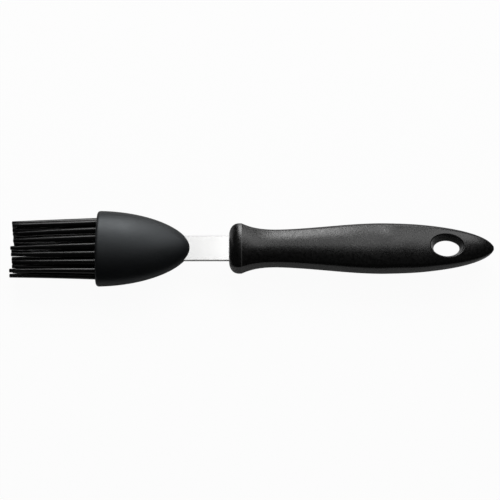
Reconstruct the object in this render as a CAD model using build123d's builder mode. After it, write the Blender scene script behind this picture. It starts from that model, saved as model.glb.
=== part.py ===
from build123d import *
from math import cos, pi, radians, sin, sqrt, tan
import os

# Silicone basting brush: moulded handle, flat steel shank and a push-on head.
# The brush lies along X: handle towards +X, bristles towards -X, width along Y,
# thickness along Z. The origin is the middle of its length, on its centre line.

# ---- driving dimensions, in millimetres --------------------------------------
HANDLE_LENGTH = 120.5
SHANK_SHOWING = 17.7        # bare steel between handle and head
BELL_LENGTH = 42.6
BRISTLE_REACH = 39.2        # longest bristle, measured from the bell's mouth

# handle, from its front face backwards
DOME_LENGTH = 5.7           # front dome, back to its crease
DOME_CORNER_LENGTH = 4.6    # the dome's corners in plan, along the brush
DOME_CORNER_WIDTH = 4.2     # and across it
DOME_SWELL = 0.5            # how much wider than the crease the dome is
DOME_NOSE = 0.28            # flat round the shank on the front, as a share of the thickness
FLARE_WIDTH = 21.6
FLARE_THICKNESS = 15.4
WAIST_FROM_FRONT = 19.5     # where the flare runs out into the waist
WAIST_WIDTH = 16.4
WAIST_THICKNESS = 12.2
BELLY_FROM_FRONT = 70.0
BELLY_WIDTH = 22.7
BELLY_THICKNESS = 13.4
TAIL_FLAT = 1.8             # width of the blunt end of the tail
CREASE_EDGE = 0.4           # rounding of the crease behind the dome
FLARE_SHOULDER = 1.3        # edge radius of the handle at its crease
BELLY_SHOULDER = 3.4        # edge radius of the handle at its belly
SIDE_BOW = 0.25             # how far each side wall bows out at the parting line
BOW_LIMIT = 0.025           # and at most this share of the width
WALL_SHARE = 0.66           # height of the side walls, as a share of the thickness
SHOULDER_LIMIT = 0.75       # largest edge radius, as a share of half the side wall

# hanging eye through the tail
EYE_FROM_TAIL = 21.5
EYE_WAIST_LENGTH = 11.8
EYE_WAIST_WIDTH = 7.4
EYE_DRAFT = 18.0            # degrees that the eye's wall opens each way
EYE_EDGE = 0.5              # rounding of the eye's two rims

# shank
SHANK_WIDTH = 11.8
SHANK_THICKNESS = 1.8
SHANK_EDGE = 0.25
SHANK_END_CORNER = 2.5
TANG_LENGTH = 62.0          # inside the handle
TANG_HOLE = 4.6
TANG_HOLE_PITCH = 30.0
TANG_HOLE_FROM_END = 10.0
MOULDED_CLEARANCE = 0.05    # plastic shrunk round the tang

# head
BELL_WIDTH = 35.8
BELL_THICKNESS = 18.6
BELL_SHOULDER = 0.535       # how far back the bell keeps its width, as a share of its length
BELL_BLUNTNESS = 0.51       # how wide its nose stays, as a share of its width
BELL_WALL = 2.3             # round the mouth
BELL_RIM = 1.4              # outer rounding of the mouth
BELL_NOSE = 10.4            # solid nose that grips the shank
LIP_DEPTH = 1.4             # lip in front of the bristle pad
LIP_HEIGHT = 0.9            # how far the lip laps over the pad
FLANGE_THICKNESS = 2.0      # core's flange behind the pad
SOCKET_WALL = 2.2           # core's wall round the tongue
SOCKET_WEB = 5.8            # core in front of the tongue, behind the flange
STEM_ROUNDING = 0.45        # corner radius of the core's stem, as a share of its thickness
SOCKET_CLEARANCE = 0.1      # round the tongue, in core and bell
SEAT_CLEARANCE = 0.1        # between the bell and what it holds

# bristles
PAD_THICKNESS = 3.0
BRISTLE_ROWS = (7, 8, 7)    # bristles in each row, staggered by half a pitch
BRISTLE_ROOT = 2.3
BRISTLE_TIP = 1.3
BRISTLE_SIDES = 10
BRISTLE_SUNK = 0.6          # root hidden in the pad
SIDE_GAP = 1.15             # from the outermost bristles to the sides of the mouth
LIP_GAP = 0.25              # least gap from any other bristle to the lip
FIELD_CLOSING = 0.95        # field of tips, as a share of the field of roots
TIP_SPREAD = 1.6            # how much shorter the shortest bristle is

# ---- places along the brush ---------------------------------------------------
TOTAL_LENGTH = HANDLE_LENGTH + SHANK_SHOWING + BELL_LENGTH + BRISTLE_REACH
TAIL_X = TOTAL_LENGTH / 2
FRONT_X = TAIL_X - HANDLE_LENGTH
CREASE_X = FRONT_X + DOME_LENGTH
WAIST_X = FRONT_X + WAIST_FROM_FRONT
BELLY_X = FRONT_X + BELLY_FROM_FRONT
EYE_X = TAIL_X - EYE_FROM_TAIL
TANG_END_X = FRONT_X + TANG_LENGTH
NOSE_X = FRONT_X - SHANK_SHOWING
MOUTH_X = NOSE_X - BELL_LENGTH
PAD_FRONT_X = MOUTH_X + LIP_DEPTH
FLANGE_FRONT_X = PAD_FRONT_X + PAD_THICKNESS + SEAT_CLEARANCE
FLANGE_BACK_X = FLANGE_FRONT_X + FLANGE_THICKNESS
TONGUE_TIP_X = FLANGE_BACK_X + SOCKET_WEB
CORE_BACK_X = NOSE_X - BELL_NOSE

# ---- sizes that fits decide -----------------------------------------------------
TANG_HOLES = [
    (TANG_END_X - TANG_HOLE_FROM_END - step * TANG_HOLE_PITCH, 0) for step in range(2)
]
POCKET_WIDTH = SHANK_WIDTH + 2 * MOULDED_CLEARANCE
POCKET_THICKNESS = SHANK_THICKNESS + 2 * MOULDED_CLEARANCE
SOCKET_WIDTH = SHANK_WIDTH + 2 * SOCKET_CLEARANCE
SOCKET_THICKNESS = SHANK_THICKNESS + 2 * SOCKET_CLEARANCE
STEM_WIDTH = SOCKET_WIDTH + 2 * SOCKET_WALL
STEM_THICKNESS = SOCKET_THICKNESS + 2 * SOCKET_WALL
STEM_CORNER = STEM_ROUNDING * STEM_THICKNESS
OPENING_WIDTH = BELL_WIDTH - 2 * BELL_WALL
OPENING_HEIGHT = BELL_THICKNESS - 2 * BELL_WALL
PAD_WIDTH = OPENING_WIDTH + 2 * LIP_HEIGHT
PAD_HEIGHT = OPENING_HEIGHT + 2 * LIP_HEIGHT

os.makedirs("parts", exist_ok=True)


# ---- handle ---------------------------------------------------------------------
def swept_size(x, flare, waist, belly):
    """Width or thickness at x: an arc down the flare, an S to the belly, an ellipse to the tail."""
    if x > BELLY_X:
        return belly * sqrt(max(1 - ((x - BELLY_X) / (TAIL_X - BELLY_X)) ** 2, 0))
    if x > WAIST_X:
        share = (x - WAIST_X) / (BELLY_X - WAIST_X)
        return waist + (belly - waist) * share ** 2 * (3 - 2 * share)
    run, rise = WAIST_X - CREASE_X, flare - waist
    radius = (run ** 2 + rise ** 2) / (2 * rise)
    return waist + radius - sqrt(radius ** 2 - (WAIST_X - x) ** 2)


def handle_section(x, width, thickness, shoulder):
    """Crowned faces on bowed side walls, joined by rounded shoulders."""
    bow = min(SIDE_BOW, BOW_LIMIT * width)
    half, high = width / 2 - bow, thickness / 2
    wall = WALL_SHARE * high
    with BuildSketch(Plane.YZ.offset(x)) as section:
        with BuildLine():
            ThreePointArc((-half, wall), (0, high), (half, wall))
            ThreePointArc((half, wall), (half + bow, 0), (half, -wall))
            ThreePointArc((half, -wall), (0, -high), (-half, -wall))
            ThreePointArc((-half, -wall), (-half - bow, 0), (-half, wall))
        make_face()
        fillet(section.vertices(), min(shoulder, SHOULDER_LIMIT * wall))
    return section.sketch


def dome_section(step):
    """A slice of the front dome; step runs from 0 at its front to 1 at the crease."""
    depth = DOME_LENGTH * (1 - cos(step * pi / 2))
    swell = DOME_SWELL * sin(step * pi) ** 2
    corner = 1 - min(depth / DOME_CORNER_LENGTH, 1)
    width = FLARE_WIDTH + swell - 2 * DOME_CORNER_WIDTH * (1 - sqrt(1 - corner ** 2))
    thickness = FLARE_THICKNESS * (DOME_NOSE + (1 - DOME_NOSE) * sin(step * pi / 2))
    return handle_section(FRONT_X + depth, width, thickness, FLARE_SHOULDER)


def grip_section(step):
    """A slice of the grip; step runs from -1 at the crease, by 0 at the belly, to 1 at the tail."""
    turn = sin(step * pi / 2)
    x = BELLY_X + turn * (TAIL_X - BELLY_X if step > 0 else BELLY_X - CREASE_X)
    width = max(swept_size(x, FLARE_WIDTH, WAIST_WIDTH, BELLY_WIDTH), TAIL_FLAT)
    thickness = max(swept_size(x, FLARE_THICKNESS, WAIST_THICKNESS, BELLY_THICKNESS), TAIL_FLAT)
    shoulder = BELLY_SHOULDER - (BELLY_SHOULDER - FLARE_SHOULDER) * max(-turn, 0)
    return handle_section(x, width, thickness, shoulder)


with BuildPart() as eye:
    # one half of the eye's opening, widest where it leaves the handle
    reach = BELLY_THICKNESS
    spread = reach * tan(radians(EYE_DRAFT))
    with BuildSketch(Plane.XY):
        with Locations((EYE_X, 0)):
            Ellipse(EYE_WAIST_LENGTH / 2, EYE_WAIST_WIDTH / 2)
    with BuildSketch(Plane.XY.offset(reach)):
        with Locations((EYE_X, 0)):
            Ellipse(EYE_WAIST_LENGTH / 2 + spread, EYE_WAIST_WIDTH / 2 + spread)
    loft(ruled=True)
    mirror(about=Plane.XY)

with BuildPart() as handle:
    loft(sections=[dome_section(step / 6) for step in range(7)])
    loft(sections=[grip_section(step / 7) for step in range(-7, 8)])
    crease = handle.edges().filter_by_position(Axis.X, CREASE_X - CREASE_EDGE, CREASE_X + CREASE_EDGE)
    fillet(crease, CREASE_EDGE)
    add(eye.part, mode=Mode.SUBTRACT)
    rims = handle.edges(Select.LAST).sort_by(Axis.Z)
    fillet([rims[0], rims[-1]], EYE_EDGE)
    # the tang's pocket, open at the front, with two posts left for its holes
    with BuildSketch(Plane.XY.offset(-POCKET_THICKNESS / 2)):
        with Locations((FRONT_X, 0)):
            Rectangle(TANG_LENGTH, POCKET_WIDTH, align=(Align.MIN, Align.CENTER))
        with Locations(*TANG_HOLES):
            Circle(TANG_HOLE / 2 - MOULDED_CLEARANCE, mode=Mode.SUBTRACT)
    extrude(amount=POCKET_THICKNESS, mode=Mode.SUBTRACT)

handle.part.label = "handle"
export_step(handle.part, "parts/handle.step")


# ---- shank ------------------------------------------------------------------------
with BuildPart() as shank:
    length = TANG_END_X - MOULDED_CLEARANCE - TONGUE_TIP_X
    with BuildSketch(Plane.XY.offset(-SHANK_THICKNESS / 2)) as blank:
        with Locations((TONGUE_TIP_X, 0)):
            Rectangle(length, SHANK_WIDTH, align=(Align.MIN, Align.CENTER))
        fillet(blank.vertices(), SHANK_END_CORNER)
        with Locations(*TANG_HOLES):
            Circle(TANG_HOLE / 2, mode=Mode.SUBTRACT)
    extrude(amount=SHANK_THICKNESS)
    flats = shank.faces().filter_by(Axis.Z)
    chamfer(flats[0].outer_wire().edges() + flats[-1].outer_wire().edges(), SHANK_EDGE)

shank.part.label = "shank"
export_step(shank.part, "parts/shank.step")


# ---- head ---------------------------------------------------------------------------
with BuildPart() as bell:
    # half the bell's plan, turned round its axis and flattened
    with BuildSketch(Plane.XY) as half_plan:
        with BuildLine():
            Line((MOUTH_X, 0), (MOUTH_X, BELL_WIDTH / 2))
            Bezier(
                (MOUTH_X, BELL_WIDTH / 2),
                (MOUTH_X + BELL_SHOULDER * BELL_LENGTH, BELL_WIDTH / 2),
                (NOSE_X, BELL_BLUNTNESS * BELL_WIDTH / 2),
                (NOSE_X, 0),
            )
            Line((NOSE_X, 0), (MOUTH_X, 0))
        make_face()
        fillet(half_plan.vertices().sort_by(Axis.Y)[-1], BELL_RIM)
    revolve(axis=Axis.X)
    scale(by=(1, 1, BELL_THICKNESS / BELL_WIDTH))
    # the mouth, the seat of pad and flange behind its lip, the stem's bore and the shank's slot
    with BuildSketch(Plane.YZ.offset(MOUTH_X)):
        Ellipse(OPENING_WIDTH / 2, OPENING_HEIGHT / 2)
    extrude(amount=LIP_DEPTH, mode=Mode.SUBTRACT)
    with BuildSketch(Plane.YZ.offset(PAD_FRONT_X - SEAT_CLEARANCE)):
        Ellipse(PAD_WIDTH / 2 + SEAT_CLEARANCE, PAD_HEIGHT / 2 + SEAT_CLEARANCE)
    extrude(amount=FLANGE_BACK_X - PAD_FRONT_X + 2 * SEAT_CLEARANCE, mode=Mode.SUBTRACT)
    with BuildSketch(Plane.YZ.offset(MOUTH_X)):
        RectangleRounded(
            STEM_WIDTH + 2 * SEAT_CLEARANCE,
            STEM_THICKNESS + 2 * SEAT_CLEARANCE,
            STEM_CORNER + SEAT_CLEARANCE,
        )
    extrude(amount=CORE_BACK_X - MOUTH_X + SEAT_CLEARANCE, mode=Mode.SUBTRACT)
    with BuildSketch(Plane.YZ.offset(MOUTH_X)):
        Rectangle(SOCKET_WIDTH, SOCKET_THICKNESS)
    extrude(amount=BELL_LENGTH, mode=Mode.SUBTRACT)

bell.part.label = "bell"
export_step(bell.part, "parts/bell.step")

with BuildPart() as core:
    with BuildSketch(Plane.YZ.offset(FLANGE_FRONT_X)):
        Ellipse(PAD_WIDTH / 2, PAD_HEIGHT / 2)
    extrude(amount=FLANGE_THICKNESS)
    with BuildSketch(Plane.YZ.offset(FLANGE_FRONT_X)):
        RectangleRounded(STEM_WIDTH, STEM_THICKNESS, STEM_CORNER)
    extrude(amount=CORE_BACK_X - FLANGE_FRONT_X)
    with BuildSketch(Plane.YZ.offset(TONGUE_TIP_X - SOCKET_CLEARANCE)):
        Rectangle(SOCKET_WIDTH, SOCKET_THICKNESS)
    extrude(amount=CORE_BACK_X - TONGUE_TIP_X + SOCKET_CLEARANCE, mode=Mode.SUBTRACT)

core.part.label = "core"
export_step(core.part, "parts/core.step")


# ---- bristles -------------------------------------------------------------------------
def bristle_places():
    """Root places in the pad's front face, row by row from the top."""
    pitch = (OPENING_WIDTH - BRISTLE_ROOT - 2 * SIDE_GAP) / (max(BRISTLE_ROWS) - 1)
    # the top row stands as high as its end bristles can without touching the lip
    room_across = (OPENING_WIDTH - BRISTLE_ROOT) / 2 - LIP_GAP
    room_high = (OPENING_HEIGHT - BRISTLE_ROOT) / 2 - LIP_GAP
    row_end = (BRISTLE_ROWS[0] - 1) / 2 * pitch
    top = room_high * sqrt(1 - (row_end / room_across) ** 2)
    for row, count in enumerate(BRISTLE_ROWS):
        high = top * (1 - 2 * row / (len(BRISTLE_ROWS) - 1))
        for step in range(count):
            yield (step - (count - 1) / 2) * pitch, high


with BuildPart() as bristles:
    with BuildSketch(Plane.YZ.offset(PAD_FRONT_X)):
        Ellipse(PAD_WIDTH / 2, PAD_HEIGHT / 2)
    extrude(amount=PAD_THICKNESS)
    for number, (across, high) in enumerate(bristle_places()):
        # neighbouring tips end unevenly, stepping through the spread in sixths
        shorter = TIP_SPREAD * (number * 5 % 7) / 6
        tip_x = MOUTH_X - BRISTLE_REACH + shorter
        root = Vector(PAD_FRONT_X + BRISTLE_SUNK, across, high)
        tip = Vector(tip_x, across * FIELD_CLOSING, high * FIELD_CLOSING)
        with BuildSketch(Plane(origin=root, z_dir=tip - root)):
            RegularPolygon(BRISTLE_ROOT / 2, BRISTLE_SIDES)
        with BuildSketch(Plane(origin=tip, z_dir=tip - root)):
            RegularPolygon(BRISTLE_TIP / 2, BRISTLE_SIDES)
        loft(ruled=True)

bristles.part.label = "bristles"
export_step(bristles.part, "parts/bristles.step")
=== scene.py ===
# %% [markdown]
# # A silicone basting brush
# The brush has a moulded plastic handle, a flat steel shank and a soft push-on head.
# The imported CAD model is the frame: it fixes every size and place, and this script gives
# it its looks. The rigid pieces keep their CAD shapes and get finishes. The two silicone
# pieces, the bell and the bristle block, are modelled here, because soft mouldings need
# rounder lips and livelier bristles than a solid model needs.

# %% Load the frame
import bmesh
import bpy
import random
from math import cos, pi, radians, sin, sqrt
from mathutils import Matrix, Vector
from mathutils.geometry import interpolate_bezier


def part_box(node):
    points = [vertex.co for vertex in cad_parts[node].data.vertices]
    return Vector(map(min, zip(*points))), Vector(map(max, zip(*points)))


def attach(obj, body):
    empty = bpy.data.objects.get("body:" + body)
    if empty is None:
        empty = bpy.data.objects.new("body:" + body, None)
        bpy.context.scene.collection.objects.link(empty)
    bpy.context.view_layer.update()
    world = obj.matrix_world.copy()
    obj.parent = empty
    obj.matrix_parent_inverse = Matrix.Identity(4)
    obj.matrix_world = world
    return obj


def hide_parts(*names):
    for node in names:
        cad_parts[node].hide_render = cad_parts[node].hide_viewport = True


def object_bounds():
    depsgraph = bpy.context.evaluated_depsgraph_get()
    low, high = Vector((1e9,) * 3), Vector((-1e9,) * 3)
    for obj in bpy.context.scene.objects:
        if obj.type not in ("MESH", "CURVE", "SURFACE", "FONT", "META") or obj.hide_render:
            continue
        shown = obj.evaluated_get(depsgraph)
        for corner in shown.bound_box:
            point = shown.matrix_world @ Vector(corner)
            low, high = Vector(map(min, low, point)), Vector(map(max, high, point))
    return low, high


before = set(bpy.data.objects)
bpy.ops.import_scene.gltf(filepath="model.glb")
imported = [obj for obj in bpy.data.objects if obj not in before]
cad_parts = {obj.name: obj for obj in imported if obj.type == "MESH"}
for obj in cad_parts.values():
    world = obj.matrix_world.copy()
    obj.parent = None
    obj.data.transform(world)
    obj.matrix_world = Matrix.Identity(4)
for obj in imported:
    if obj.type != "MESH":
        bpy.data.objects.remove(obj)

CAD_BOX = [list(corner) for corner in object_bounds()]
MM = 0.001

# %% [markdown]
# ## Places taken from the frame
# The head's pieces are measured from the bell's mouth, which is the lowest x of the bell.
# Reading these numbers off the CAD nodes keeps the soft pieces on their solids when a
# size of the brush changes. The pad of the bristles is as wide and high as the core's
# flange that it sits on.

# %% Read the head's places
bell_low, bell_high = (Vector(corner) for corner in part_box("bell"))
solid_bristles_low, _ = (Vector(corner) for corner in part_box("bristles"))
core_low, core_high = (Vector(corner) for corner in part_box("core"))
_, shank_high = (Vector(corner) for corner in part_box("shank"))
handle_low, _ = (Vector(corner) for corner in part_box("handle"))

SHANK_SHOWING = 17.7 * MM   # bare steel between the handle and the bell
MOUTH_X = bell_low.x
NOSE_X = handle_low.x - SHANK_SHOWING
BELL_LENGTH = NOSE_X - MOUTH_X
BELL_HALF_WIDTH = (bell_high.y - bell_low.y) / 2
BELL_HALF_HEIGHT = (bell_high.z - bell_low.z) / 2
PAD_HALF_WIDTH = (core_high.y - core_low.y) / 2
PAD_HALF_HEIGHT = (core_high.z - core_low.z) / 2
print("bell length", round(BELL_LENGTH / MM, 2), "mm")
print("bell half width", round(BELL_HALF_WIDTH / MM, 2), "mm")

# %% [markdown]
# ## The bell
# The bell is the soft, bullet-shaped cap that holds the bristles and grips the shank.
# It could be sculpted from a sphere, but the real one is close to a turned shape that is
# pressed flat, so it is spun: half of its plan is one Bezier curve from the mouth to the
# nose, spun about the brush's axis. It is flattened once its rim is rounded.

# %% Spin the bell's skin
MERGE_DISTANCE = 0.002 * MM     # points closer than this are one point
SPIN_STEPS = 128
PLAN_POINTS = 40
BELL_SHOULDER = 0.535       # how far back the bell keeps its width, as a share of its length
BELL_BLUNTNESS = 0.51       # how wide its nose stays, as a share of its width

plan = interpolate_bezier(
    Vector((MOUTH_X, BELL_HALF_WIDTH, 0)),
    Vector((MOUTH_X + BELL_SHOULDER * BELL_LENGTH, BELL_HALF_WIDTH, 0)),
    Vector((NOSE_X, BELL_BLUNTNESS * BELL_HALF_WIDTH, 0)),
    Vector((NOSE_X, 0, 0)),
    PLAN_POINTS,
)
bm = bmesh.new()
points = [bm.verts.new(place) for place in plan]
edges = [bm.edges.new(pair) for pair in zip(points, points[1:])]
bmesh.ops.spin(
    bm, geom=points + edges, cent=(0, 0, 0), axis=(1, 0, 0), dvec=(0, 0, 0),
    angle=2 * pi, steps=SPIN_STEPS, use_merge=True,
)
bmesh.ops.remove_doubles(bm, verts=bm.verts, dist=MERGE_DISTANCE)
print("bell skin", len(bm.faces), "faces")

# %% [markdown]
# The spin leaves the bell open at its mouth. The wall and the seat behind it are built
# from that open edge, ring by ring, which keeps them one skin with the outside. Three
# helpers do this: one rounds edges, one extrudes an open loop in place, and one moves a
# loop of points onto an ellipse.

# %% Find the rim and define how to shape it
def round_edges(bm, edges, size, segments):
    """A round bevel of the given width along the edges."""
    bmesh.ops.bevel(
        bm, geom=edges, offset=size, offset_type="OFFSET", affect="EDGES",
        segments=segments, profile=0.5, material=-1,
    )


def extrude_loop(bm, loop):
    """Extrudes an open edge loop in place and returns the new loop's edges and points."""
    new = bmesh.ops.extrude_edge_only(bm, edges=loop)["geom"]
    edges = [item for item in new if isinstance(item, bmesh.types.BMEdge)]
    points = [item for item in new if isinstance(item, bmesh.types.BMVert)]
    return edges, points


def set_ellipse(points, x, half_width, half_height):
    """Moves a loop of points onto an ellipse across the brush, each at its own angle."""
    for point in points:
        size = sqrt((point.co.y / half_width) ** 2 + (point.co.z / half_height) ** 2)
        point.co = Vector((x, point.co.y / size, point.co.z / size))


rim_edges = [edge for edge in bm.edges if edge.is_boundary]
print("open rim of", len(rim_edges), "edges")

# %% [markdown]
# The rim comes first. It is extruded inwards by the wall's thickness, and its outer edge
# is rounded while the bell is still round. Only then is the bell flattened, so that the
# rounding flattens with it.

# %% Round the rim and flatten the bell
BELL_WALL = 2.3 * MM
BELL_RIM = 1.4 * MM         # outer rounding of the mouth
INNER_RADIUS = BELL_HALF_WIDTH - BELL_WALL

_, inner_points = extrude_loop(bm, rim_edges)
set_ellipse(inner_points, MOUTH_X, INNER_RADIUS, INNER_RADIUS)
round_edges(bm, rim_edges, BELL_RIM, segments=7)
flatness = BELL_HALF_HEIGHT / BELL_HALF_WIDTH
bmesh.ops.scale(bm, vec=(1, 1, flatness), verts=bm.verts)
print("flattened to", round(flatness, 3), "of its width")

# %% [markdown]
# A bmesh is only a workbench, so a finished shape is turned into an object of its own.
# The helper merges points that lie together and turns all faces outwards first, because
# spins and extrusions can leave both undone.

# %% Define how a shape becomes a piece
def piece_from(bm, name):
    """A mesh object at the origin, with merged points and outward faces."""
    bmesh.ops.remove_doubles(bm, verts=bm.verts, dist=MERGE_DISTANCE)
    bmesh.ops.recalc_face_normals(bm, faces=bm.faces)
    mesh = bpy.data.meshes.new(name)
    bm.to_mesh(mesh)
    bm.free()
    piece = bpy.data.objects.new(name, mesh)
    bpy.context.scene.collection.objects.link(piece)
    return piece


print("points closer than", round(MERGE_DISTANCE / MM, 4), "mm are merged")

# %% [markdown]
# Behind the rim comes the inside of the mouth: a lip that keeps the pad from coming out,
# and a wider seat that the pad and the core's flange sit in. Each step inwards is one
# more extruded loop, set to its own ellipse, and the last loop is filled as the floor.

# %% Shape the mouth
LIP_DEPTH = 1.4 * MM
LIP_ROUNDING = 0.4 * MM
FLANGE_THICKNESS = 2.0 * MM
SEAT_CLEARANCE = 0.1 * MM
SEAT_DEPTH = core_low.x - MOUTH_X + FLANGE_THICKNESS + SEAT_CLEARANCE

opening = (BELL_HALF_WIDTH - BELL_WALL, BELL_HALF_HEIGHT - BELL_WALL)
seat = (PAD_HALF_WIDTH + SEAT_CLEARANCE, PAD_HALF_HEIGHT + SEAT_CLEARANCE)
mouth_edges = [edge for edge in bm.edges if edge.is_boundary]
mouth_points = {point for edge in mouth_edges for point in edge.verts}
set_ellipse(mouth_points, MOUTH_X, *opening)
steps_inwards = [
    (MOUTH_X + LIP_DEPTH - SEAT_CLEARANCE, opening),
    (MOUTH_X + LIP_DEPTH - SEAT_CLEARANCE, seat),
    (MOUTH_X + SEAT_DEPTH, seat),
]
loop = mouth_edges
for x, half_sizes in steps_inwards:
    loop, loop_points = extrude_loop(bm, loop)
    set_ellipse(loop_points, x, *half_sizes)
bmesh.ops.contextual_create(bm, geom=loop)
round_edges(bm, mouth_edges, LIP_ROUNDING, segments=4)
bell = piece_from(bm, "bell_moulding")
print("bell with its mouth", len(bell.data.polygons), "faces")

# %% [markdown]
# Holes are cut with plain blocks, because that is how a mould's inserts leave them, and a
# Boolean keeps the skin around them unchanged. The modifier is applied at once, so that
# the next step works on a plain mesh. Smooth shading comes after the cuts and stays crisp
# where faces meet sharply, or the edges of the holes would look melted.

# %% Define how pieces are cut and shaded
CRISP_FROM = 35             # degrees between faces


def combine(piece, other, operation):
    """Cuts or joins the other piece's solid, then removes the other piece."""
    modifier = piece.modifiers.new(operation.title(), "BOOLEAN")
    modifier.operation = operation
    modifier.solver = "EXACT"
    modifier.object = other
    depsgraph = bpy.context.evaluated_depsgraph_get()
    result = bpy.data.meshes.new_from_object(piece.evaluated_get(depsgraph))
    piece.modifiers.remove(modifier)
    piece.data = result
    bpy.data.objects.remove(other)


def shade_smooth(piece):
    """Smooth shading that stays crisp where faces meet sharply."""
    piece.data.shade_smooth()
    piece.data.set_sharp_from_angle(angle=radians(CRISP_FROM))


def block(name, low, high, rounding=0.0):
    """A box between two corners, with its edges along the brush rounded."""
    bm = bmesh.new()
    bmesh.ops.create_cube(bm, size=1)
    bmesh.ops.scale(bm, vec=high - low, verts=bm.verts)
    bmesh.ops.translate(bm, vec=(low + high) / 2, verts=bm.verts)
    if rounding:
        along = [edge for edge in bm.edges if abs(edge.verts[0].co.x - edge.verts[1].co.x) > MM]
        round_edges(bm, along, rounding, segments=6)
    return piece_from(bm, name)


print("the seat's floor lies", round(SEAT_DEPTH / MM, 2), "mm behind the mouth")

# %% [markdown]
# Two cuts finish the bell: the bore for the core's stem, and the slot that the steel
# tongue slides through. Each starts a little before its wall, so that it cuts right
# through and leaves no thin skin behind.

# %% Cut the stem's bore and the tongue's slot
STEM_HALF_WIDTH = 8.2 * MM + SEAT_CLEARANCE
STEM_HALF_HEIGHT = 3.2 * MM + SEAT_CLEARANCE
STEM_ROUNDING = 2.9 * MM
TONGUE_CLEARANCE = 0.1 * MM
CUT_OVERLAP = 1.0 * MM      # how far each cut starts before its wall

bore = block(
    "bore",
    Vector((MOUTH_X + SEAT_DEPTH - CUT_OVERLAP, -STEM_HALF_WIDTH, -STEM_HALF_HEIGHT)),
    Vector((core_high.x + SEAT_CLEARANCE, STEM_HALF_WIDTH, STEM_HALF_HEIGHT)),
    rounding=STEM_ROUNDING,
)
combine(bell, bore, "DIFFERENCE")
tongue_half = Vector((0, shank_high.y + TONGUE_CLEARANCE, shank_high.z + TONGUE_CLEARANCE))
slot = block(
    "slot",
    Vector((core_high.x - CUT_OVERLAP, 0, 0)) - tongue_half,
    Vector((NOSE_X + CUT_OVERLAP, 0, 0)) + tongue_half,
)
combine(bell, slot, "DIFFERENCE")
shade_smooth(bell)
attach(bell, "head")
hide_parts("bell")
print("bell cut", len(bell.data.polygons), "faces")

# %% [markdown]
# ## The bristle block
# The bristles and the pad that they grow from are one silicone moulding. Three rows bow
# with the mouth, and the middle row stands half a pitch aside, so that it shows between
# the bristles of the row above it.

# %% Place the bristles
BRISTLE_ROWS = (7, 8, 7)
BRISTLE_ROOT = 1.5 * MM     # radius in the pad
BRISTLE_TIP = 0.9 * MM      # radius at the tip
SIDE_GAP = 0.8 * MM         # from the last bristle of the longest row to the opening
BOW_GAP = 0.25 * MM         # from the ellipse that the rows bow along to the opening
ROW_GAP = 0.9 * MM          # from the outer rows to the opening


def bristle_places():
    """Root places across the pad, in rows that bow with the mouth, from the top."""
    pitch = 2 * (opening[0] - BRISTLE_ROOT - SIDE_GAP) / (max(BRISTLE_ROWS) - 1)
    room_across = opening[0] - BRISTLE_ROOT - BOW_GAP
    room_high = opening[1] - BRISTLE_ROOT - ROW_GAP
    for row, count in enumerate(BRISTLE_ROWS):
        share = 1 - 2 * row / (len(BRISTLE_ROWS) - 1)
        for step in range(count):
            across = (step - (count - 1) / 2) * pitch
            yield across, share * room_high * sqrt(1 - (across / room_across) ** 2)


places = list(bristle_places())
print(len(places), "bristles")

# %% [markdown]
# The field closes a little towards the tips, the tips end at slightly different lengths,
# and each bristle bends its own way, because soft rods never lie quite straight. The
# bends are random, with a fixed seed, so that every run gives the same brush. Two tips
# that come too close are each pushed away by half of what is missing, because rods that
# run into each other can be lost when they are joined to the pad.

# %% Place the tips
BRISTLE_REACH = 39.2 * MM   # from the mouth to the longest tips
TIP_SPREAD = 1.3 * MM       # the shortest bristle ends this much before the longest
SPREAD_LENGTHS = 7          # how many lengths there are
SPREAD_STEP = 5             # how many of them the next bristle is on
FIELD_CLOSING = 0.93        # width of the field at the tips, as a share of that at the roots
FIELD_THINNING = 0.5        # its height there, as a share
BEND = 0.6 * MM             # farthest that a tip bends by chance, each way
TIP_GAP = 0.12 * MM         # least gap between two tips
PUSH_ROUNDS = 30
ACROSS_ONLY = Vector((0, 1, 1))
random.seed(7)

bends = [Vector((0, random.uniform(-BEND, BEND), random.uniform(-BEND, BEND))) for _ in places]
tips = []
for number, (across, high) in enumerate(places):
    shorter = TIP_SPREAD * (number * SPREAD_STEP % SPREAD_LENGTHS) / (SPREAD_LENGTHS - 1)
    tip_x = MOUTH_X - BRISTLE_REACH + shorter
    tips.append(Vector((tip_x, across * FIELD_CLOSING, high * FIELD_THINNING)))
for _ in range(PUSH_ROUNDS):
    for one in range(len(places)):
        for other in range(one):
            apart = (tips[one] + bends[one] - tips[other] - bends[other]) * ACROSS_ONLY
            missing = 2 * BRISTLE_TIP + TIP_GAP - apart.length
            if missing > 0:
                bends[one] += apart.normalized() * missing / 2
                bends[other] -= apart.normalized() * missing / 2
print("tips from x", round(min(tip.x for tip in tips) / MM, 2), "mm")
print("the solid bristles start at x", round(solid_bristles_low.x / MM, 2), "mm")

# %% [markdown]
# A rod is made standing on the origin from create_cone, rounded at its tip, cut into
# short lengths and flared where it grows out of the pad. It is bent by moving its rings
# sideways by the square of the height, as a soft rod droops. Each rod gets a bmesh of its
# own, so that its edges can be told by their height alone.

# %% Define the rod
ROD_SIDES = 16
ROD_RINGS = 12
TIP_ROUNDING = 0.25 * MM
ROOT_FLARE = 0.1 * MM       # added to a rod's radius where it starts
FLARE_HEIGHT = 1.2 * MM


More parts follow.
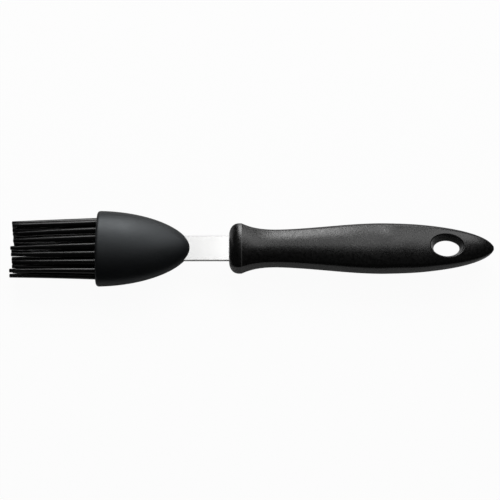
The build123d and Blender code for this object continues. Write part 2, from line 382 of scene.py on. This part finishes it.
def rod_mesh(root, tip, bend):
    """One tapered rod from root to tip, bent sideways by the vector."""
    bm = bmesh.new()
    length = (tip - root).length
    bmesh.ops.create_cone(
        bm, cap_ends=True, segments=ROD_SIDES,
        radius1=BRISTLE_ROOT, radius2=BRISTLE_TIP, depth=length,
    )
    bmesh.ops.translate(bm, vec=(0, 0, length / 2), verts=bm.verts)
    end_ring = [edge for edge in bm.edges if all(point.co.z > length / 2 for point in edge.verts)]
    round_edges(bm, end_ring, TIP_ROUNDING, segments=3)
    sides = [edge for edge in bm.edges if abs(edge.verts[0].co.z - edge.verts[1].co.z) > length / 2]
    bmesh.ops.subdivide_edges(bm, edges=sides, cuts=ROD_RINGS)
    turn = (tip - root).to_track_quat("Z", "Y").to_matrix()
    for point in bm.verts:
        flare = 1 + ROOT_FLARE / BRISTLE_ROOT * max(1 - point.co.z / FLARE_HEIGHT, 0) ** 2
        point.co.xy *= flare
        share = point.co.z / length
        point.co = turn @ point.co + root + bend * share * share
    mesh = bpy.data.meshes.new("rod")
    bm.to_mesh(mesh)
    bm.free()
    return mesh


print("rods have", ROD_SIDES, "sides and", ROD_RINGS, "rings")

# %% [markdown]
# All rods are gathered in one bmesh, so that a single union joins them later. They start
# a little inside the pad, because a Boolean is unreliable where surfaces only touch.

# %% Make the rods
ROOT_X = MOUTH_X + LIP_DEPTH    # front of the pad
ROOT_SINK = 0.6 * MM            # how deep the rods start in it

bm = bmesh.new()
for (across, high), tip, bend in zip(places, tips, bends):
    root = Vector((ROOT_X + ROOT_SINK, across, high))
    bm.from_mesh(rod_mesh(root, tip, bend))
rods = piece_from(bm, "rods")
print("rods", len(rods.data.polygons), "faces")

# %% [markdown]
# The pad is an elliptical plate with softened edges. The rods are joined to it by a
# Boolean union, so the block is one closed skin, as the moulding is.

# %% Make the pad and join the rods
PAD_THICKNESS = 3.0 * MM
PAD_SIDES = 96
PAD_ROUNDING = 0.3 * MM

bm = bmesh.new()
made = bmesh.ops.create_cone(
    bm, cap_ends=True, segments=PAD_SIDES, radius1=1, radius2=1, depth=PAD_THICKNESS,
)["verts"]
bmesh.ops.scale(bm, vec=(PAD_HALF_HEIGHT, PAD_HALF_WIDTH, 1), verts=made)
bmesh.ops.rotate(bm, cent=(0, 0, 0), matrix=Matrix.Rotation(pi / 2, 3, "Y"), verts=made)
bmesh.ops.translate(bm, vec=(ROOT_X + PAD_THICKNESS / 2, 0, 0), verts=made)
pad_edges = [edge for edge in bm.edges if max(len(face.verts) for face in edge.link_faces) > 4]
round_edges(bm, pad_edges, PAD_ROUNDING, segments=3)
bristles = piece_from(bm, "bristle_moulding")
combine(bristles, rods, "UNION")
shade_smooth(bristles)
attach(bristles, "head")
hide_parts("bristles")
print("bristle block", len(bristles.data.polygons), "faces")

# %% [markdown]
# ## Finishes
# Every finish is a node material that reads Object coordinates, which on these pieces are
# metres along the brush, so a grain keeps its true size on each piece. Images could do
# it too, but nodes need no files and don't blur when seen close. One helper makes a
# Principled material, and one gives it to a piece.

# %% Define the helpers for materials
def new_finish(name, **values):
    """A Principled material, its node tree and its sockets; _ stands for a space in a value."""
    material = bpy.data.materials.new(name)
    material.use_nodes = True
    shader = material.node_tree.nodes["Principled BSDF"]
    for socket, value in values.items():
        shader.inputs[socket.replace("_", " ")].default_value = value
    return material, material.node_tree, shader.inputs


def dress(name, material):
    """Gives a piece or a CAD node one finish in all of its slots."""
    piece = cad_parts.get(name) or bpy.data.objects[name]
    piece.data.materials.clear()
    piece.data.materials.append(material)
    print(name, "gets", material.name)


print("moulded pieces to dress:", bell.name, "and", bristles.name)

# %% [markdown]
# The patterns are all made from noise. A stretched noise gives lines, because its
# coordinates are pressed together along the brush. The middle of the noise's range is
# spread over the roughness or the tints that a finish asks for, and the noise itself is
# the height of a bump.

# %% Define the helpers for patterns
NOISE_SPAN = (0.3, 0.7)     # the part of a noise's range that holds nearly all of it


def add_noise(tree, scale, detail, stretch=(1, 1, 1)):
    """A noise texture on Object coordinates; scale counts blobs per metre."""
    coordinates = tree.nodes.new("ShaderNodeTexCoord")
    mapping = tree.nodes.new("ShaderNodeMapping")
    mapping.inputs["Scale"].default_value = stretch
    noise = tree.nodes.new("ShaderNodeTexNoise")
    noise.inputs["Scale"].default_value = scale
    noise.inputs["Detail"].default_value = detail
    tree.links.new(coordinates.outputs["Object"], mapping.inputs["Vector"])
    tree.links.new(mapping.outputs["Vector"], noise.inputs["Vector"])
    return noise.outputs["Fac"]


def add_range(tree, value, low, high):
    """Spreads a noise between low and high."""
    spread = tree.nodes.new("ShaderNodeMapRange")
    spread.inputs["From Min"].default_value = NOISE_SPAN[0]
    spread.inputs["From Max"].default_value = NOISE_SPAN[1]
    spread.inputs["To Min"].default_value = low
    spread.inputs["To Max"].default_value = high
    tree.links.new(value, spread.inputs["Value"])
    return spread.outputs["Result"]


def add_tint(tree, value, dark, light):
    """Turns a noise into a colour between two tints."""
    ramp = tree.nodes.new("ShaderNodeValToRGB")
    for element, position, tint in zip(ramp.color_ramp.elements, NOISE_SPAN, (dark, light)):
        element.position = position
        element.color = (*tint, 1)
    tree.links.new(value, ramp.inputs["Fac"])
    return ramp.outputs["Color"]


def add_bump(tree, height, distance, strength, normal=None):
    """A bump of the given depth in metres, laid over an earlier one."""
    bump = tree.nodes.new("ShaderNodeBump")
    bump.inputs["Distance"].default_value = distance
    bump.inputs["Strength"].default_value = strength
    tree.links.new(height, bump.inputs["Height"])
    if normal:
        tree.links.new(normal, bump.inputs["Normal"])
    return bump.outputs["Normal"]


print("noise is read from", *NOISE_SPAN)

# %% [markdown]
# The handle is polypropylene from a spark-eroded mould. That leaves a fine grain, which
# scatters the light into a soft mottled sheen. Two noises make it: a fine one for the
# grain itself and a coarser one for the mottling.

# %% Make the handle's plastic
GRAIN = 2000                # blobs per metre
GRAIN_DEPTH = 0.05 * MM
MOTTLE = 800
MOTTLE_DEPTH = 0.04 * MM

plastic, tree, sockets = new_finish("moulded_plastic")
grain = add_noise(tree, GRAIN, detail=2)
mottle = add_noise(tree, MOTTLE, detail=3)
body_tint = add_tint(tree, mottle, dark=(0.001, 0.001, 0.001), light=(0.004, 0.004, 0.004))
tree.links.new(add_range(tree, mottle, low=0.24, high=0.34), sockets["Roughness"])
fine = add_bump(tree, grain, GRAIN_DEPTH, strength=0.9)
coarse = add_bump(tree, mottle, MOTTLE_DEPTH, strength=0.5, normal=fine)
tree.links.new(coarse, sockets["Normal"])
print("grain of", GRAIN, "and mottling of", MOTTLE, "blobs a metre")

# %% [markdown]
# The crease behind the dome shows as a thin paler line. It is a painted highlight, put in
# the colour where the crease's edge would catch the light. A narrow band of the plastic is
# picked out by its distance along the brush, because the crease lies square across it.

# %% Paint the crease's highlight and finish the handle
# The paler band along the crease is a painted highlight, not wear.
DOME_LENGTH = 5.7 * MM      # from the handle's front back to the crease
CREASE_HIGHLIGHT_WIDTH = 0.5 * MM      # width of the paler band
CREASE_HIGHLIGHT_TINT = (0.045, 0.045, 0.045, 1)

place = tree.nodes.new("ShaderNodeTexCoord")
axes = tree.nodes.new("ShaderNodeSeparateXYZ")
tree.links.new(place.outputs["Object"], axes.inputs["Vector"])
near = tree.nodes.new("ShaderNodeMath")
near.operation = "COMPARE"
near.inputs[1].default_value = handle_low.x + DOME_LENGTH
near.inputs[2].default_value = CREASE_HIGHLIGHT_WIDTH / 2
tree.links.new(axes.outputs["X"], near.inputs[0])
# The mix paints the highlight's paler tint onto the plastic along the crease.
crease_highlight = tree.nodes.new("ShaderNodeMix")
crease_highlight.data_type = "RGBA"
crease_highlight.inputs["B"].default_value = CREASE_HIGHLIGHT_TINT
tree.links.new(near.outputs["Value"], crease_highlight.inputs["Factor"])
tree.links.new(body_tint, crease_highlight.inputs["A"])
tree.links.new(crease_highlight.outputs["Result"], sockets["Base Color"])
dress("handle", plastic)

# %% [markdown]
# The shank is polished stainless strip. Rolling and polishing leave faint lines along it,
# so its noise is stretched along the brush and moves the roughness and a very shallow
# bump. A broad noise gives the faint smears of handling.

# %% Finish the shank
STEEL_LINES = 4200
LINE_DEPTH = 0.0004 * MM
STEEL_SMEARS = 160

steel, tree, sockets = new_finish("polished_steel", Metallic=1.0)
lines = add_noise(tree, STEEL_LINES, detail=3, stretch=(0.02, 1, 1))
smears = add_noise(tree, STEEL_SMEARS, detail=3)
steel_tint = add_tint(tree, smears, dark=(0.92, 0.92, 0.915), light=(0.96, 0.96, 0.955))
tree.links.new(steel_tint, sockets["Base Color"])
tree.links.new(add_range(tree, lines, low=0.2, high=0.24), sockets["Roughness"])
tree.links.new(add_bump(tree, lines, LINE_DEPTH, strength=0.5), sockets["Normal"])
dress("shank", steel)

# %% [markdown]
# The core is glass-filled nylon, hidden inside the bell. Its finish only shows when the
# pieces are taken apart: short fibres, as fine pale streaks in the dull black.

# %% Finish the core
FIBRES = 1500
FIBRE_DEPTH = 0.02 * MM

nylon, tree, sockets = new_finish("filled_nylon", Roughness=0.55)
fibres = add_noise(tree, FIBRES, detail=2, stretch=(0.25, 1, 1))
nylon_tint = add_tint(tree, fibres, dark=(0.02, 0.02, 0.02), light=(0.05, 0.05, 0.05))
tree.links.new(nylon_tint, sockets["Base Color"])
tree.links.new(add_bump(tree, fibres, FIBRE_DEPTH, strength=0.6), sockets["Normal"])
dress("core", nylon)

# %% [markdown]
# The bell's silicone is smooth and satin, faintly blue in its sheen. A broad noise keeps
# the sheen from looking like paint, and a very fine one is the skin that a blasted mould
# leaves.

# %% Finish the bell
SKIN = 2600
SKIN_DEPTH = 0.012 * MM
CLOUDS = 110

satin, tree, sockets = new_finish("satin_silicone", IOR=1.49, Specular_Tint=(0.9, 0.96, 1, 1))
skin = add_noise(tree, SKIN, detail=2)
clouds = add_noise(tree, CLOUDS, detail=4)
satin_tint = add_tint(tree, clouds, dark=(0.0015, 0.0017, 0.002), light=(0.003, 0.0033, 0.004))
tree.links.new(satin_tint, sockets["Base Color"])
tree.links.new(add_range(tree, clouds, low=0.42, high=0.49), sockets["Roughness"])
tree.links.new(add_bump(tree, skin, SKIN_DEPTH, strength=0.6), sockets["Normal"])
dress("bell_moulding", satin)

# %% [markdown]
# The bristles come from a polished mould, so they are glossier than the bell, with thin
# streaks along them where the silicone has flowed.

# %% Finish the bristles
FLOW = 1200
FLOW_DEPTH = 0.02 * MM

gloss, tree, sockets = new_finish("glossy_silicone", IOR=1.41)
flow = add_noise(tree, FLOW, detail=3, stretch=(0.06, 1, 1))
gloss_tint = add_tint(tree, flow, dark=(0.002, 0.002, 0.002), light=(0.005, 0.005, 0.005))
tree.links.new(gloss_tint, sockets["Base Color"])
tree.links.new(add_range(tree, flow, low=0.2, high=0.3), sockets["Roughness"])
tree.links.new(add_bump(tree, flow, FLOW_DEPTH, strength=0.5), sockets["Normal"])
dress("bristle_moulding", gloss)

# %% [markdown]
# ## Floor
# The brush lies on a white table. The floor's own colour is a plain white that takes the
# shadows. What the camera sees is mostly an even white, so that the table stays white all
# round while a faint shadow still shows. Glossy pieces see a little of that white too,
# which lightens the lower edges of the handle and of the shank.

# %% Lay the floor
FLOOR_SIZE = 3.0            # half of its side
FLOOR_GAP = 0.05 * MM
CAMERA_SHARE = 0.955        # how much of the even white the camera sees
GLOSSY_SHARE = 0.11         # how much of it a glossy piece sees

bm = bmesh.new()
bmesh.ops.create_grid(bm, x_segments=1, y_segments=1, size=FLOOR_SIZE)
bmesh.ops.translate(bm, vec=(0, 0, CAD_BOX[0][2] - FLOOR_GAP), verts=bm.verts)
floor = piece_from(bm, "floor")
table, tree, sockets = new_finish(
    "white_table", Base_Color=(0.8, 0.8, 0.8, 1), Roughness=0.9, Specular_IOR_Level=0.0,
)
glow = tree.nodes.new("ShaderNodeEmission")
glow.inputs["Color"].default_value = (1, 1, 1, 1)
glow.inputs["Strength"].default_value = 1.0
path = tree.nodes.new("ShaderNodeLightPath")
camera_part = tree.nodes.new("ShaderNodeMath")
camera_part.operation = "MULTIPLY"
camera_part.inputs[1].default_value = CAMERA_SHARE
tree.links.new(path.outputs["Is Camera Ray"], camera_part.inputs[0])
both_parts = tree.nodes.new("ShaderNodeMath")
both_parts.operation = "MULTIPLY_ADD"
both_parts.inputs[1].default_value = GLOSSY_SHARE
tree.links.new(path.outputs["Is Glossy Ray"], both_parts.inputs[0])
tree.links.new(camera_part.outputs["Value"], both_parts.inputs[2])
mix = tree.nodes.new("ShaderNodeMixShader")
tree.links.new(both_parts.outputs["Value"], mix.inputs["Fac"])
tree.links.new(tree.nodes["Principled BSDF"].outputs["BSDF"], mix.inputs[1])
tree.links.new(glow.outputs["Emission"], mix.inputs[2])
tree.links.new(mix.outputs["Shader"], tree.nodes["Material Output"].inputs["Surface"])
dress("floor", table)

# %% [markdown]
# ## Light
# The light is a few white cards on a dome one metre round the brush, all on its far side,
# so the near side stays dark. The brightest card is the window that draws the long sheen
# along the upper half. The ceiling card is what the flat steel mirrors to the camera. Each
# card is told by the patch of the dome that it fills, because that is what a glossy piece
# shows of it.

# %% Set the cards
CARD_DISTANCE = 1.0


def add_card(name, azimuths, elevations, radiance):
    """An area lamp that fills a patch of the dome, in degrees from +Y and from the table."""
    azimuth, elevation = radians(sum(azimuths) / 2), radians(sum(elevations) / 2)
    place = CARD_DISTANCE * Vector((
        cos(elevation) * sin(azimuth), cos(elevation) * cos(azimuth), sin(elevation),
    ))
    light = bpy.data.lights.new(name, "AREA")
    light.shape = "RECTANGLE"
    light.size = 2 * CARD_DISTANCE * cos(elevation) * sin(radians(azimuths[1] - azimuths[0]) / 2)
    light.size_y = 2 * CARD_DISTANCE * sin(radians(elevations[1] - elevations[0]) / 2)
    light.energy = pi * light.size * light.size_y * radiance
    lamp = bpy.data.objects.new(name, light)
    lamp.location = place
    lamp.rotation_euler = (-place).to_track_quat("-Z", "Y").to_euler()
    bpy.context.scene.collection.objects.link(lamp)
    print(name, round(light.energy, 2), "W")


add_card("window", (-22, 4), (22, 50), 10.5)
add_card("side_window", (20, 45), (22, 50), 3.15)
add_card("low_window", (0, 20), (6, 18), 4.5)
add_card("ceiling", (-30, 12), (50, 76), 0.85)
add_card("side_ceiling", (12, 45), (50, 76), 2.9)

# %% [markdown]
# The world adds very little light, so that the dark pieces keep their depth. The camera
# alone sees it white, where it looks past the edge of the table.

# %% Set the world
WORLD_STRENGTH = 0.03

world = bpy.data.worlds.new("studio")
world.use_nodes = True
bpy.context.scene.world = world
tree = world.node_tree
background = tree.nodes["Background"]
background.inputs["Color"].default_value = (1, 1, 1, 1)
strength = tree.nodes.new("ShaderNodeMapRange")
strength.inputs["To Min"].default_value = WORLD_STRENGTH
strength.inputs["To Max"].default_value = 1.0
path = tree.nodes.new("ShaderNodeLightPath")
tree.links.new(path.outputs["Is Camera Ray"], strength.inputs["Value"])
tree.links.new(strength.outputs["Result"], background.inputs["Strength"])
print("world strength", WORLD_STRENGTH)

# %% [markdown]
# ## Camera
# The camera looks down steeply on the brush, 72 degrees above the table, with the head
# on the left. The lens follows from how much of the brush's plane the picture spans.

# %% Set the camera
ELEVATION = 72
DISTANCE = 0.65
VIEW_WIDTH = 0.2278         # what the picture spans at the brush
SENSOR_WIDTH = 36
AIM = Vector((-1.0 * MM, -0.7 * MM, 0))

camera_data = bpy.data.cameras.new("camera")
camera_data.sensor_width = SENSOR_WIDTH
camera_data.lens = SENSOR_WIDTH * DISTANCE / VIEW_WIDTH
camera = bpy.data.objects.new("camera", camera_data)
outwards = Vector((0, -cos(radians(ELEVATION)), sin(radians(ELEVATION))))
camera.location = AIM + DISTANCE * outwards
camera.rotation_euler = (-outwards).to_track_quat("-Z", "Y").to_euler()
bpy.context.scene.collection.objects.link(camera)
bpy.context.scene.camera = camera
bpy.context.scene.view_settings.view_transform = "Standard"
print("lens", round(camera_data.lens, 1), "mm")

# %% [markdown]
# ## Finish
# The CAD model's box is printed.

# %% Write the sizes and finish
print("cad box", CAD_BOX)
